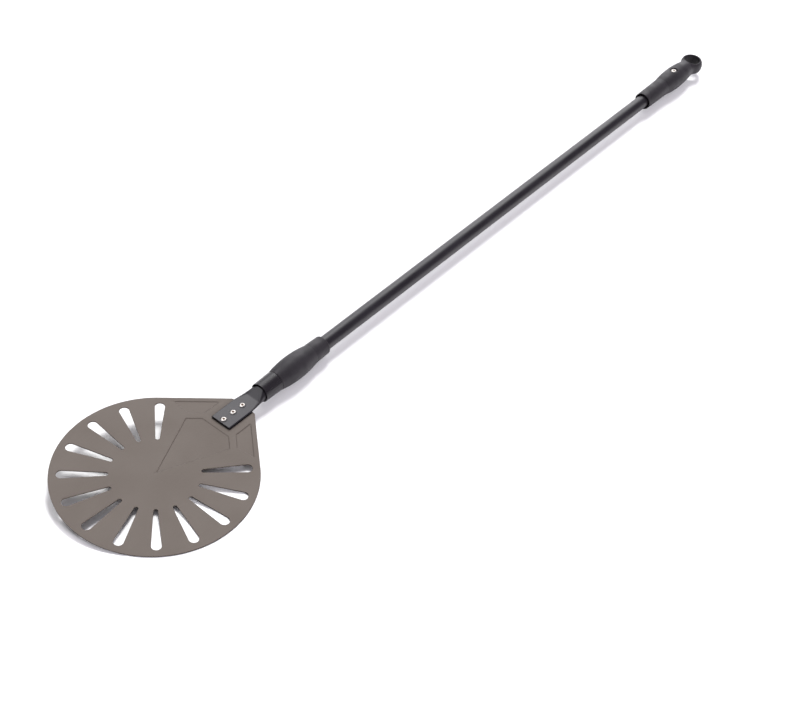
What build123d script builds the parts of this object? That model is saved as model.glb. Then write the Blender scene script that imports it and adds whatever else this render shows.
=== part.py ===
from build123d import *
from build123d.topology import SkipClean
import math
import os

# Turning peel for a pizza oven, in millimetres. The origin is the centre of the blade's circle, on the
# blade's top face. +X runs along the handle, +Z is up.

# Blade: one pressed sheet, a disc with two straight sides that run in towards the handle
BLADE_RADIUS = 115.0
BLADE_THICKNESS = 1.5
SIDE_ANGLE = 42.8  # degrees from +X to the normal of a straight side
BLADE_TIP_X = 141.0
BLADE_TIP_CORNER = 4.0

# Slots: tapered, pointing at the blade's centre, fanned out opposite the handle
SLOT_COUNT = 13
SLOT_PITCH = 23.0  # degrees
SLOT_INNER_X = 52.9
SLOT_INNER_RADIUS = 2.4
SLOT_OUTER_X = 100.8
SLOT_OUTER_RADIUS = 5.7

# Stiffening panels pressed down out of the sheet, given by their distance from the blade's centre
PANEL_DEPTH = 0.6
PANEL_DRAFT = 45.0  # degrees
PANEL_CORNER = 1.0
SIDE_PANEL_OUTER = BLADE_RADIUS - 5.0
SIDE_PANEL_INNER = SIDE_PANEL_OUTER - 19.0
SIDE_PANEL_Y = 23.5
SIDE_PANEL_BACK_INNER_X = 88.6
SIDE_PANEL_BACK_OUTER_X = 90.9
CENTRE_PANEL_EDGE = SIDE_PANEL_INNER - 7.0
CENTRE_PANEL_FRONT_Y = 20.4
CENTRE_PANEL_SIDE_Y = 34.5

# Tang seat: the part of the blade's top that the tang covers, so that the carrying face runs round it
SEAT_MARGIN = 0.5

# Handle: a round tube, pressed flat at the blade end
TUBE_RADIUS = 9.0
TUBE_WALL = 1.2
TANG_SEAM = 0.2  # gap left between the two pressed walls
TANG_HALF_HEIGHT = TUBE_WALL + TANG_SEAM / 2
TANG_HALF_WIDTH = math.pi * (TUBE_RADIUS - TUBE_WALL / 2) / 2 + TUBE_WALL / 2
AXIS_Z = TANG_HALF_HEIGHT  # the tang lies on the blade
TANG_START_X = 103.0
TANG_NARROWS_X = 140.5
RAMP_START_X = 155.5
RAMP_START_FLAT = 9.0  # half width of the flat where the ramp starts
RAMP_START_HALF_WIDTH = 12.0
RAMP_END_X = 172.0
RAMP_CREST_ANGLE = 20.0  # degrees either side of the tube's top
TUBE_END_X = 1062.0

# Rivets: blind rivets, each a sleeve with a snapped steel stem inside
RIVET_SHANK_RADIUS = 2.0
RIVET_STEM_RADIUS = 1.1
RIVET_CLEARANCE = 0.05
RIVET_HOLE_RADIUS = RIVET_SHANK_RADIUS + RIVET_CLEARANCE
BLADE_RIVET_X = (108.2, 123.4, 138.6)
BLADE_RIVET_HEAD_RADIUS = 3.8
RIVET_HEAD_HEIGHT = 1.3
RIVET_HEAD_LIP = 0.5  # width of the flat ring round the head's bore
RIVET_HEAD_BULGE = 0.2  # rise of the dome's middle above half the head's height
RIVET_TAIL_RADIUS = 2.9
RIVET_TAIL_LENGTH = 2.6
RIVET_STEM_HEAD_RADIUS = 1.9
RIVET_STEM_HEAD_LENGTH = 1.2
RIVET_STEM_BELOW_CROWN = 0.5
BUTT_RIVET_X = 1038.0
BUTT_RIVET_HEAD_RADIUS = 4.3
BUTT_RIVET_SEAT = 13.2  # height of the recess floor above the tube's axis
BUTT_RIVET_RECESS_RADIUS = 5.2

# Sliding grip: an inner sleeve that slides on the tube, and a bulged shell that turns on the sleeve
GRIP_START_X = 167.3
GRIP_MOUTH_RADIUS = 12.05
COLLAR_END_X = 193.6
COLLAR_END_RADIUS = 12.7
COLLAR_GAP = 0.4
GRIP_PEAK_X = 223.5
GRIP_PEAK_RADIUS = 15.65
GRIP_NECK_X = 254.5
GRIP_NECK_RADIUS = 12.55
GRIP_END_X = 277.2
GRIP_END_RADIUS = 11.9
SLIDE_CLEARANCE = 0.3
SLEEVE_RADIUS = 10.6
TURN_CLEARANCE = 0.25
SHELL_LIP_LENGTH = 3.3
SHELL_LIP_CLEARANCE = 0.45
MOUTH_BORE_RADIUS = 10.7
MOUTH_BORE_LENGTH = 12.0
MOUTH_EDGE = 0.8
GRIP_END_EDGE = 1.2

# Butt grip: fixed on the tube's end, with a hanging eye
BUTT_START_X = 960.5
BUTT_KINK_X = 1009.5
BUTT_KINK_RADIUS = 12.75
BUTT_PEAK_X = 1040.0
BUTT_PEAK_RADIUS = 15.2
BUTT_NECK_X = 1073.2
BUTT_NECK_RADIUS = 11.9
BUTT_BORE_CLEARANCE = 0.05
EYE_X = 1089.0
EYE_RADIUS = 15.8
EYE_HALF_HEIGHT = 8.25
EYE_HOLE_RADIUS = 10.5
EYE_RIM_RADIUS = 11.6
EYE_FLARE_HEIGHT = 2.4


def on_side_line(distance, x=None, y=None):
    """The point at the given x or y on the line parallel to a straight side, distance from the centre."""
    cosine = math.cos(math.radians(SIDE_ANGLE))
    sine = math.sin(math.radians(SIDE_ANGLE))
    if x is None:
        return ((distance - y * sine) / cosine, y)
    return (x, (distance - x * cosine) / sine)


def mirrored(points):
    """The points, then their mirror images in the handle's line, in the order of an outline."""
    return points + [(x, -y) for x, y in reversed(points)]


def polygon(points):
    """A flat face with the given corners."""
    return make_face(Polyline(*points, close=True))


def blade_outline():
    side = math.radians(SIDE_ANGLE)
    tangent_point = (BLADE_RADIUS * math.cos(side), BLADE_RADIUS * math.sin(side))
    tip = on_side_line(BLADE_RADIUS, x=BLADE_TIP_X)
    shoulders = polygon(mirrored([tangent_point, tip]))
    tips = shoulders.vertices().group_by(Axis.X)[-1]
    return Circle(BLADE_RADIUS) + fillet(tips, BLADE_TIP_CORNER)


def slot():
    """One slot along +X: two round ends joined by their common tangents."""
    lean = (SLOT_OUTER_RADIUS - SLOT_INNER_RADIUS) / (SLOT_OUTER_X - SLOT_INNER_X)
    rise = math.sqrt(1 - lean**2)
    flanks = [
        (SLOT_INNER_X - SLOT_INNER_RADIUS * lean, SLOT_INNER_RADIUS * rise),
        (SLOT_OUTER_X - SLOT_OUTER_RADIUS * lean, SLOT_OUTER_RADIUS * rise),
    ]
    inner_end = Pos(SLOT_INNER_X, 0) * Circle(SLOT_INNER_RADIUS)
    outer_end = Pos(SLOT_OUTER_X, 0) * Circle(SLOT_OUTER_RADIUS)
    return polygon(mirrored(flanks)) + inner_end + outer_end


def panel_outlines():
    """The centre panel, then the two side panels."""
    centre = mirrored(
        [
            on_side_line(CENTRE_PANEL_EDGE, y=CENTRE_PANEL_SIDE_Y),
            on_side_line(CENTRE_PANEL_EDGE, y=CENTRE_PANEL_FRONT_Y),
        ]
    )
    side = [
        on_side_line(SIDE_PANEL_OUTER, x=SIDE_PANEL_BACK_OUTER_X),
        on_side_line(SIDE_PANEL_OUTER, y=SIDE_PANEL_Y),
        on_side_line(SIDE_PANEL_INNER, y=SIDE_PANEL_Y),
        on_side_line(SIDE_PANEL_INNER, x=SIDE_PANEL_BACK_INNER_X),
    ]
    corners = [[(0, 0)] + centre, side, [(x, -y) for x, y in reversed(side)]]
    faces = [polygon(points) for points in corners]
    return [fillet(face.vertices(), PANEL_CORNER) for face in faces]


def make_blade():
    underside = -BLADE_THICKNESS
    blade = Pos(0, 0, underside) * extrude(blade_outline(), BLADE_THICKNESS)
    cutter = Pos(0, 0, underside) * extrude(slot(), BLADE_THICKNESS)
    for index in range(SLOT_COUNT):
        turn = 180 + SLOT_PITCH * (index - (SLOT_COUNT - 1) / 2)
        blade -= Rot(0, 0, turn) * cutter
    for outline in panel_outlines():
        pressed = extrude(outline, PANEL_DEPTH, dir=(0, 0, -1), taper=PANEL_DRAFT)
        blade += Pos(0, 0, underside) * pressed
        blade -= pressed
    for x in BLADE_RIVET_X:
        hole = Cylinder(RIVET_HOLE_RADIUS, BLADE_THICKNESS, align=(Align.CENTER, Align.CENTER, Align.MAX))
        blade -= Pos(x, 0, 0) * hole
    seat_start = TANG_START_X - SEAT_MARGIN
    seat_width = 2 * (TANG_HALF_WIDTH + SEAT_MARGIN)
    inwards = (Align.MIN, Align.CENTER, Align.MAX)
    seat = Pos(seat_start, 0, 0) * Box(BLADE_TIP_X - seat_start, seat_width, BLADE_THICKNESS, align=inwards)
    with SkipClean():
        return (blade - seat) + (blade & seat)


def tube_section(x, flat_half_width, flat_height, half_width, crown_height):
    """A section across the handle: a crest above and below, joined by an arc on each side."""
    left, right = -flat_half_width, flat_half_width
    edges = []
    for sign in (1, -1):
        height = sign * flat_height
        if crown_height == flat_height:
            edges.append(Line((left, height), (right, height)))
        else:
            edges.append(ThreePointArc((left, height), (0, sign * crown_height), (right, height)))
        edge_y = sign * flat_half_width
        edges.append(ThreePointArc((edge_y, flat_height), (sign * half_width, 0), (edge_y, -flat_height)))
    across = Plane(origin=(x, 0, AXIS_Z), x_dir=(0, 1, 0), z_dir=(1, 0, 0))
    return across * make_face(edges)


def handle_solid(inset):
    """The handle's outside for inset 0, or its inside for inset equal to the wall."""
    half_height = TANG_HALF_HEIGHT - inset
    half_width = TANG_HALF_WIDTH - inset
    radius = TUBE_RADIUS - inset
    crest = math.radians(RAMP_CREST_ANGLE)
    flat = TANG_HALF_WIDTH - TANG_HALF_HEIGHT
    tang_start = tube_section(TANG_START_X, flat, half_height, half_width, half_height)
    tang_end = tube_section(TANG_NARROWS_X, flat, half_height, half_width, half_height)
    ramp_half_width = RAMP_START_HALF_WIDTH - inset
    ramp_start = tube_section(RAMP_START_X, RAMP_START_FLAT, half_height, ramp_half_width, half_height)
    ramp_end = tube_section(
        RAMP_END_X, radius * math.sin(crest), radius * math.cos(crest), radius, radius
    )
    tang = loft([tang_start, tang_end], ruled=True)
    ramp = loft([tang_end, ramp_start, ramp_end], ruled=True)
    tube = Cylinder(radius, TUBE_END_X - RAMP_END_X, align=(Align.CENTER, Align.CENTER, Align.MIN))
    return tang + ramp + Pos(RAMP_END_X, 0, AXIS_Z) * Rot(0, 90, 0) * tube


def make_handle_tube():
    handle = handle_solid(0) - handle_solid(TUBE_WALL)
    through = Cylinder(RIVET_HOLE_RADIUS, 2 * TUBE_RADIUS)
    for x in BLADE_RIVET_X:
        handle -= Pos(x, 0, AXIS_Z) * through
    top_hole = Cylinder(RIVET_HOLE_RADIUS, 2 * TUBE_RADIUS, align=(Align.CENTER, Align.CENTER, Align.MIN))
    return handle - Pos(BUTT_RIVET_X, 0, AXIS_Z) * top_hole


def spun(points):
    """The solid of revolution about Z whose outline has its corners at the given (height, radius)."""
    corners = [(radius, 0, height) for height, radius in points]
    return revolve(make_face(Polyline(*corners, close=True)), Axis.Z)


def rivet_sleeve(head_radius, grip):
    """A set blind rivet, its head seated on z = 0 and its shank running down through the grip."""
    bore = RIVET_STEM_RADIUS + RIVET_CLEARANCE
    head = ThreePointArc(
        (head_radius, 0, 0),
        (head_radius * math.cos(math.pi / 6), 0, RIVET_HEAD_HEIGHT / 2 + RIVET_HEAD_BULGE),
        (bore + RIVET_HEAD_LIP, 0, RIVET_HEAD_HEIGHT),
    )
    tail_end = -grip - RIVET_TAIL_LENGTH
    bulb = ThreePointArc(
        (RIVET_SHANK_RADIUS, 0, -grip),
        (RIVET_TAIL_RADIUS, 0, -grip - RIVET_TAIL_LENGTH / 2),
        (RIVET_SHANK_RADIUS, 0, tail_end),
    )
    outline = [
        head,
        Line(head @ 1, (bore, 0, RIVET_HEAD_HEIGHT)),
        Line((bore, 0, RIVET_HEAD_HEIGHT), (bore, 0, tail_end)),
        Line((bore, 0, tail_end), bulb @ 1),
        bulb,
        Line(bulb @ 0, (RIVET_SHANK_RADIUS, 0, 0)),
        Line((RIVET_SHANK_RADIUS, 0, 0), head @ 0),
    ]
    return revolve(make_face(outline), Axis.Z)


def rivet_stem(grip):
    """The stem's snapped end inside the sleeve, with its own head under the formed tail."""
    top = RIVET_HEAD_HEIGHT - RIVET_STEM_BELOW_CROWN
    tail_end = -grip - RIVET_TAIL_LENGTH
    bottom = tail_end - RIVET_STEM_HEAD_LENGTH
    return spun(
        [
            (top, 0),
            (top, RIVET_STEM_RADIUS),
            (tail_end, RIVET_STEM_RADIUS),
            (tail_end, RIVET_STEM_HEAD_RADIUS),
            (bottom, RIVET_STEM_HEAD_RADIUS),
            (bottom, 0),
        ]
    )


def at_blade_rivets(shape):
    seat = 2 * TANG_HALF_HEIGHT
    return Compound(children=[Pos(x, 0, seat) * shape for x in BLADE_RIVET_X])


def at_butt_rivet(shape):
    return Pos(BUTT_RIVET_X, 0, AXIS_Z + BUTT_RIVET_SEAT) * shape


def turned(outline):
    """The solid of revolution about the handle's axis whose outline lies above the X axis."""
    return Pos(0, 0, AXIS_Z) * revolve(make_face(outline), Axis.X)


def upright(points):
    """The open chain of lines through points given as (x, radius)."""
    corners = [(x, 0, radius) for x, radius in points]
    return Polyline(*corners).edges()


def make_grip_sleeve():
    bore = TUBE_RADIUS + SLIDE_CLEARANCE
    rear = GRIP_END_X - SHELL_LIP_LENGTH - COLLAR_GAP
    outline = upright(
        [
            (GRIP_START_X, MOUTH_BORE_RADIUS),
            (GRIP_START_X, GRIP_MOUTH_RADIUS - MOUTH_EDGE),
            (GRIP_START_X + MOUTH_EDGE, GRIP_MOUTH_RADIUS),
            (COLLAR_END_X, COLLAR_END_RADIUS),
            (COLLAR_END_X, SLEEVE_RADIUS),
            (rear, SLEEVE_RADIUS),
            (rear, bore),
            (GRIP_START_X + MOUTH_BORE_LENGTH, bore),
            (GRIP_START_X + MOUTH_BORE_LENGTH, MOUTH_BORE_RADIUS),
            (GRIP_START_X, MOUTH_BORE_RADIUS),
        ]
    )
    return turned(outline)


def make_grip_shell():
    start = COLLAR_END_X + COLLAR_GAP
    bore = SLEEVE_RADIUS + TURN_CLEARANCE
    lip = TUBE_RADIUS + SHELL_LIP_CLEARANCE
    bulge = ThreePointArc(
        (start, 0, COLLAR_END_RADIUS),
        (GRIP_PEAK_X, 0, GRIP_PEAK_RADIUS),
        (GRIP_NECK_X, 0, GRIP_NECK_RADIUS),
    )
    rest = upright(
        [
            (GRIP_NECK_X, GRIP_NECK_RADIUS),
            (GRIP_END_X - GRIP_END_EDGE, GRIP_END_RADIUS),
            (GRIP_END_X, GRIP_END_RADIUS - GRIP_END_EDGE),
            (GRIP_END_X, lip),
            (GRIP_END_X - SHELL_LIP_LENGTH, lip),
            (GRIP_END_X - SHELL_LIP_LENGTH, bore),
            (start, bore),
            (start, COLLAR_END_RADIUS),
        ]
    )
    return turned([bulge] + list(rest))


def butt_body():
    """The butt grip's outside, before the eye, the bore and the recess."""
    bulge = ThreePointArc(
        (BUTT_KINK_X, 0, BUTT_KINK_RADIUS),
        (BUTT_PEAK_X, 0, BUTT_PEAK_RADIUS),
        (BUTT_NECK_X, 0, BUTT_NECK_RADIUS),
    )
    rest = upright(
        [
            (BUTT_NECK_X, BUTT_NECK_RADIUS),
            (EYE_X, BUTT_NECK_RADIUS),
            (EYE_X, 0),
            (BUTT_START_X, 0),
            (BUTT_START_X, GRIP_MOUTH_RADIUS - MOUTH_EDGE),
            (BUTT_START_X + MOUTH_EDGE, GRIP_MOUTH_RADIUS),
            (BUTT_KINK_X, BUTT_KINK_RADIUS),
        ]
    )
    return turned([bulge] + list(rest))


def eye_hole():
    """The hanging hole, flared at both mouths."""
    flare_end = 2 * EYE_RADIUS
    slope = (EYE_RIM_RADIUS - EYE_HOLE_RADIUS) / EYE_FLARE_HEIGHT
    flare_start = EYE_HALF_HEIGHT - EYE_FLARE_HEIGHT
    mouth = EYE_HOLE_RADIUS + slope * (flare_end - flare_start)
    return spun(
        [
            (flare_end, 0),
            (flare_end, mouth),
            (flare_start, EYE_HOLE_RADIUS),
            (-flare_start, EYE_HOLE_RADIUS),
            (-flare_end, mouth),
            (-flare_end, 0),
        ]
    )


def make_butt_grip():
    ball = Sphere(EYE_RADIUS) & Box(2 * EYE_RADIUS, 2 * EYE_RADIUS, 2 * EYE_HALF_HEIGHT)
    eye = Pos(EYE_X, 0, AXIS_Z)
    grip = butt_body() + eye * ball - eye * eye_hole()
    bore = turned(
        upright(
            [
                (BUTT_START_X, 0),
                (BUTT_START_X, MOUTH_BORE_RADIUS),
                (BUTT_START_X + MOUTH_BORE_LENGTH, MOUTH_BORE_RADIUS),
                (BUTT_START_X + MOUTH_BORE_LENGTH, TUBE_RADIUS + BUTT_BORE_CLEARANCE),
                (TUBE_END_X, TUBE_RADIUS + BUTT_BORE_CLEARANCE),
                (TUBE_END_X, 0),
                (BUTT_START_X, 0),
            ]
        )
    )
    upwards = (Align.CENTER, Align.CENTER, Align.MIN)
    recess = Cylinder(BUTT_RIVET_RECESS_RADIUS, BUTT_PEAK_RADIUS, align=upwards)
    shank_hole = Pos(BUTT_RIVET_X, 0, AXIS_Z) * Cylinder(RIVET_HOLE_RADIUS, BUTT_PEAK_RADIUS, align=upwards)
    return grip - bore - at_butt_rivet(recess) - shank_hole


blade_grip_length = 2 * TANG_HALF_HEIGHT + BLADE_THICKNESS
butt_grip_length = BUTT_RIVET_SEAT - TUBE_RADIUS + 2 * TUBE_WALL

nodes = {
    "blade": make_blade(),
    "handle_tube": make_handle_tube(),
    "blade_rivets": at_blade_rivets(rivet_sleeve(BLADE_RIVET_HEAD_RADIUS, blade_grip_length)),
    "blade_rivet_stems": at_blade_rivets(rivet_stem(blade_grip_length)),
    "grip_sleeve": make_grip_sleeve(),
    "grip_shell": make_grip_shell(),
    "butt_grip": make_butt_grip(),
    "butt_rivet": at_butt_rivet(rivet_sleeve(BUTT_RIVET_HEAD_RADIUS, butt_grip_length)),
    "butt_rivet_stem": at_butt_rivet(rivet_stem(butt_grip_length)),
}

os.makedirs("parts", exist_ok=True)
for name, shape in nodes.items():
    export_step(shape, f"parts/{name}.step")
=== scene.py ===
import math
from functools import partial

import bmesh
import bpy
import numpy as np
from mathutils import Matrix, Vector
from mathutils.geometry import delaunay_2d_cdt


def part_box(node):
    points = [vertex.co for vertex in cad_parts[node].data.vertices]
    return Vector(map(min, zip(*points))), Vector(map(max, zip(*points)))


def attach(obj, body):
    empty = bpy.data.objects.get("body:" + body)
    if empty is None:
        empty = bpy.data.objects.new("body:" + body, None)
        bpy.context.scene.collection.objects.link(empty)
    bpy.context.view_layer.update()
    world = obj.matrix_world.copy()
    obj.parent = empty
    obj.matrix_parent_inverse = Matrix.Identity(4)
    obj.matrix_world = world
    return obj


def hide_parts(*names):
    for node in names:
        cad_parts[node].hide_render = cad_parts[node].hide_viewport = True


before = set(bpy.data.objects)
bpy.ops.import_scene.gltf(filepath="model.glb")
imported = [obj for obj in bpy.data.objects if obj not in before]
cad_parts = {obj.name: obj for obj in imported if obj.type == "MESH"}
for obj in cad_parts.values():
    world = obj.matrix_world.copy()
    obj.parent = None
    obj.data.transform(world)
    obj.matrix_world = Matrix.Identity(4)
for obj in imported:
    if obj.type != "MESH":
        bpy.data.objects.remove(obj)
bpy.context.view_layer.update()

# Turning peel for a pizza oven. Metres, in the frame of the CAD model: +X along the handle, +Z up,
# with the origin at the centre of the blade's circle, on the blade's top face.

MM = 0.001

# ---------------------------------------------------------------- sizes, most of them from the frame

blade_low, blade_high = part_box("blade")
handle_low, handle_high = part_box("handle_tube")
sleeve_low, sleeve_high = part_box("grip_sleeve")
shell_low, shell_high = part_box("grip_shell")
butt_low, butt_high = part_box("butt_grip")
rivets_low, rivets_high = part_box("blade_rivets")
butt_rivet_low, butt_rivet_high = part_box("butt_rivet")

BLADE_RADIUS = -blade_low.x
BLADE_TIP_X = blade_high.x
PANEL_DEPTH = 0.6 * MM
BLADE_THICKNESS = -blade_low.z - PANEL_DEPTH
BLADE_EDGE = 0.35 * MM  # rounding of every edge of the sheet
SLIVER = 0.001 * MM  # triangles lower than this are left out of the sheet
SIDE_ANGLE = math.radians(42.8)  # from +X to the normal of a straight side
TIP_CORNER = 4 * MM

SLOT_COUNT = 13
SLOT_PITCH = math.radians(23)
SLOT_INNER = (52.9 * MM, 2.4 * MM)  # distance from the blade's centre, radius
SLOT_OUTER = (100.8 * MM, 5.7 * MM)

PANEL_SLOPE = 1.4 * MM  # width of the pressed wall round a panel
PANEL_CORNER = 1.9 * MM
SIDE_PANEL_OUTER = BLADE_RADIUS - 5 * MM
SIDE_PANEL_INNER = SIDE_PANEL_OUTER - 19 * MM
SIDE_PANEL_Y = 23.5 * MM
SIDE_PANEL_BACK_INNER_X = 88.6 * MM
SIDE_PANEL_BACK_OUTER_X = 90.9 * MM
CENTRE_PANEL_EDGE = SIDE_PANEL_INNER - 7 * MM
CENTRE_PANEL_FRONT_Y = 20.4 * MM
CENTRE_PANEL_SIDE_Y = 34.5 * MM

AXIS_Z = (handle_low.z + handle_high.z) / 2
TUBE_RADIUS = (handle_high.z - handle_low.z) / 2
TUBE_WALL = 1.2 * MM
TANG_HALF_HEIGHT = AXIS_Z  # the tang lies on the blade, and tang and tube share one axis
TANG_HALF_WIDTH = handle_high.y
TANG_NARROWS_X = 140.5 * MM
RAMP_START_X = 155.5 * MM
RAMP_START_FLAT = 9 * MM
RAMP_START_HALF_WIDTH = 12 * MM
RAMP_CREST_X = 168 * MM  # where the ridge of the ramp reaches its full height
RAMP_CREST_HEIGHT = 8.4 * MM
RAMP_CREST_HALF_WIDTH = 10.2 * MM
RAMP_END_X = 178 * MM
RAMP_RIDGE_ANGLE = math.radians(5)

RIVET_SHANK_RADIUS = 2 * MM
RIVET_STEM_RADIUS = 1.1 * MM
RIVET_HOLE_RADIUS = RIVET_SHANK_RADIUS - 0.1 * MM  # the swollen shank fills its hole tightly
RIVET_HOLE_EDGE = 0.05 * MM
RIVET_HEAD_HEIGHT = 1.3 * MM
RIVET_BORE_RADIUS = RIVET_STEM_RADIUS + 0.4 * MM  # where the stem came out of the head
RIVET_RIM = 0.2 * MM  # width of the rim round the bore
RIVET_TAIL_LENGTH = 2.6 * MM
RIVET_TAIL_RADIUS = 2.9 * MM
STEM_TOP_RADIUS = RIVET_STEM_RADIUS + 0.35 * MM
STEM_TOP_DEPTH = 0.12 * MM  # below the rivet's rim
STEM_HEAD_LENGTH = 1.2 * MM
STEM_HEAD_RADIUS = 1.9 * MM
BLADE_RIVET_SEAT = 2 * TANG_HALF_HEIGHT
BLADE_RIVET_HEAD_RADIUS = rivets_high.y
BLADE_RIVET_COUNT = 3
BUTT_RIVET_HEAD_RADIUS = butt_rivet_high.y
BUTT_RIVET_X = (butt_rivet_low.x + butt_rivet_high.x) / 2
BUTT_RIVET_SEAT = butt_rivet_high.z - RIVET_HEAD_HEIGHT

COLLAR_END_X = 193.6 * MM
GRIP_PEAK_X = 223.5 * MM
GRIP_PEAK_RADIUS = shell_high.y
GRIP_NECK_X = 254.5 * MM
GRIP_NECK_RADIUS = 12.55 * MM
GRIP_END_RADIUS = 11.9 * MM
GRIP_MOUTH_RADIUS = 12.05 * MM
COLLAR_END_RADIUS = sleeve_high.y
SLEEVE_RADIUS = 10.6 * MM
SLEEVE_MOUTH_RADIUS = 11.2 * MM
BUTT_MOUTH_RADIUS = 10.95 * MM
MOUTH_BORE_LENGTH = 12 * MM

BUTT_KINK_X = 1009.5 * MM
BUTT_KINK_RADIUS = 12.75 * MM
BUTT_PEAK_X = 1040 * MM
BUTT_PEAK_RADIUS = 15.2 * MM
BUTT_NECK_X = 1073.2 * MM
BUTT_NECK_RADIUS = 11.9 * MM
EYE_RADIUS = butt_high.y
EYE_X = butt_high.x - EYE_RADIUS
EYE_HALF_HEIGHT = 8.25 * MM
EYE_HOLE_RADIUS = 10.5 * MM
EYE_RIM_RADIUS = 11.6 * MM
EYE_FLARE_HEIGHT = 4.5 * MM  # above this the hole widens towards its rim
BUTT_RECESS_RADIUS = 5.2 * MM
BUTT_SHANK_RADIUS = 2.05 * MM

ROUND_SEGMENTS = 160


# ---------------------------------------------------------------- mesh helpers


def new_piece(name, vertices, faces, material, sharp_angle=40):
    """A smooth-shaded object with sharp edges where its faces meet at more than sharp_angle degrees."""
    mesh = bpy.data.meshes.new(name)
    mesh.from_pydata([tuple(v) for v in vertices], [], [tuple(f) for f in faces])
    work = bmesh.new()
    work.from_mesh(mesh)
    bmesh.ops.recalc_face_normals(work, faces=work.faces)
    work.to_mesh(mesh)
    work.free()
    mesh.shade_smooth()
    mesh.set_sharp_from_angle(angle=math.radians(sharp_angle))
    mesh.materials.append(material)
    piece = bpy.data.objects.new(name, mesh)
    bpy.context.scene.collection.objects.link(piece)
    return piece


def keep_flats_flat(piece):
    """Weights each vertex normal by face area, so that flats stay flat beside rounded edges."""
    modifier = piece.modifiers.new("flat_normals", "WEIGHTED_NORMAL")
    modifier.keep_sharp = True


def grid_faces(rows, columns, close_rows=False, first=0):
    """Quads between neighbouring rings of a grid whose columns close on themselves."""
    faces = []
    for row in range(rows if close_rows else rows - 1):
        after = (row + 1) % rows
        for column in range(columns):
            beside = (column + 1) % columns
            faces.append(
                (
                    first + row * columns + column,
                    first + row * columns + beside,
                    first + after * columns + beside,
                    first + after * columns + column,
                )
            )
    return faces


def arc(centre, radius, start, end, steps):
    """Points on an arc, angles in radians."""
    angles = np.linspace(start, end, steps + 1)
    return np.column_stack([centre[0] + radius * np.cos(angles), centre[1] + radius * np.sin(angles)])


def rounded_corner(before, corner, after, radius, steps=6):
    """Points of the fillet of the given radius between the lines before-corner and corner-after."""
    before, corner, after = (np.array(p, float) for p in (before, corner, after))
    to_before = (before - corner) / np.linalg.norm(before - corner)
    to_after = (after - corner) / np.linalg.norm(after - corner)
    half_angle = math.acos(np.clip(to_before @ to_after, -1, 1)) / 2
    bisector = to_before + to_after
    bisector /= np.linalg.norm(bisector)
    centre = corner + bisector * radius / math.sin(half_angle)
    start = corner + to_before * radius / math.tan(half_angle) - centre
    end = corner + to_after * radius / math.tan(half_angle) - centre
    turn = math.atan2(start[0] * end[1] - start[1] * end[0], start @ end)
    first = math.atan2(start[1], start[0])
    return arc(centre, radius, first, first + turn, steps)


def rounded_outline(corners, radii, steps=6):
    """A closed outline through the corners, each filleted with its own radius; 0 keeps it sharp."""
    points = []
    count = len(corners)
    for index, radius in enumerate(radii):
        if radius == 0:
            points.append([corners[index]])
            continue
        before, after = corners[index - 1], corners[(index + 1) % count]
        points.append(rounded_corner(before, corners[index], after, radius, steps))
    return np.vstack(points)


def arc_through(start, peak, end, steps):
    """Points of the circular arc from start through peak to end."""
    (ax, ay), (bx, by), (cx, cy) = start, peak, end
    d = 2 * (ax * (by - cy) + bx * (cy - ay) + cx * (ay - by))
    a2, b2, c2 = ax**2 + ay**2, bx**2 + by**2, cx**2 + cy**2
    x = (a2 * (by - cy) + b2 * (cy - ay) + c2 * (ay - by)) / d
    y = (a2 * (cx - bx) + b2 * (ax - cx) + c2 * (bx - ax)) / d
    first = math.atan2(ay - y, ax - x)
    last = math.atan2(cy - y, cx - x)
    return arc((x, y), math.hypot(ax - x, ay - y), first, last, steps)


def resample(outline, spacing):
    """The closed outline with its long straight stretches cut into steps of about the spacing."""
    points = []
    for index, start in enumerate(outline):
        end = outline[(index + 1) % len(outline)]
        steps = max(1, round(np.linalg.norm(end - start) / spacing))
        for step in range(steps):
            points.append(start + (end - start) * step / steps)
    return np.array(points)


def lathe(profile, axis_z=0.0, segments=ROUND_SEGMENTS, along="X", offset=(0, 0)):
    """Vertices and faces swept round an axis by a closed profile of (distance along the axis, radius)."""
    turn = np.linspace(0, 2 * math.pi, segments, endpoint=False)
    vertices = []
    for along_axis, radius in profile:
        side, rise = radius * np.cos(turn), radius * np.sin(turn)
        if along == "X":
            ring = np.column_stack([np.full(segments, along_axis), side, axis_z + rise])
        else:
            ring = np.column_stack(
                [offset[0] + side, offset[1] + rise, np.full(segments, axis_z + along_axis)]
            )
        vertices.append(ring)
    return np.vstack(vertices), grid_faces(len(profile), segments, close_rows=True)


# ---------------------------------------------------------------- materials


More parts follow.
